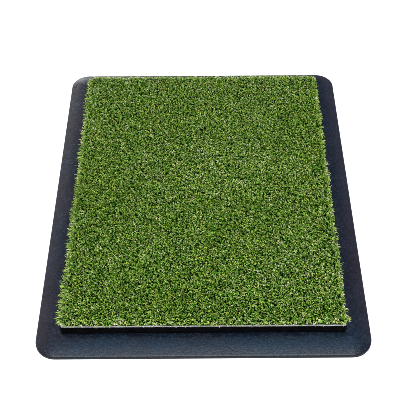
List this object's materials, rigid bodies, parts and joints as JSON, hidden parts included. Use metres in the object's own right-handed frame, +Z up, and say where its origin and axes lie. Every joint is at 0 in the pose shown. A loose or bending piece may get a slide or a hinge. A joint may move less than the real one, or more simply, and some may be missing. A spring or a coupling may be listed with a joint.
{
  "type": "golf hitting mat",
  "caption": "Flat practice mat: curled artificial turf on a cushioned pad that lifts off a moulded rubber base with a bowed sloping border, rounded corners and a shallow recess.",
  "frame": {"origin": "on the floor, under the middle of the rubber base", "axes": "+Z up out of the turf, +Y along the mat's long side away from the viewer, +X across the mat to the right"},
  "size_m": [0.35, 0.45, 0.029],
  "materials": {
    "base_rubber": "satin",
    "hook_tape": "matte",
    "loop_tape": "matte",
    "foam": "matte",
    "latex": "matte",
    "backing_cloth": "matte",
    "turf_fibre": "matte"
  },
  "bodies": {
    "base": {"rubber_base": "base_rubber", "hook_strip_1": "hook_tape", "hook_strip_2": "hook_tape", "hook_strip_3": "hook_tape", "hook_strip_4": "hook_tape"},
    "turf_pad": {"foam_pad": "foam", "latex_coat": "latex", "primary_backing": "backing_cloth", "turf_pile": "turf_fibre", "loop_strip_1": "loop_tape", "loop_strip_2": "loop_tape", "loop_strip_3": "loop_tape", "loop_strip_4": "loop_tape"}
  },
  "joints": [
    {"name": "pad_lift", "type": "slide", "parent": "base", "child": "turf_pad", "axis": [0, 0, 1], "range_m": [0, 0.05]}
  ]
}
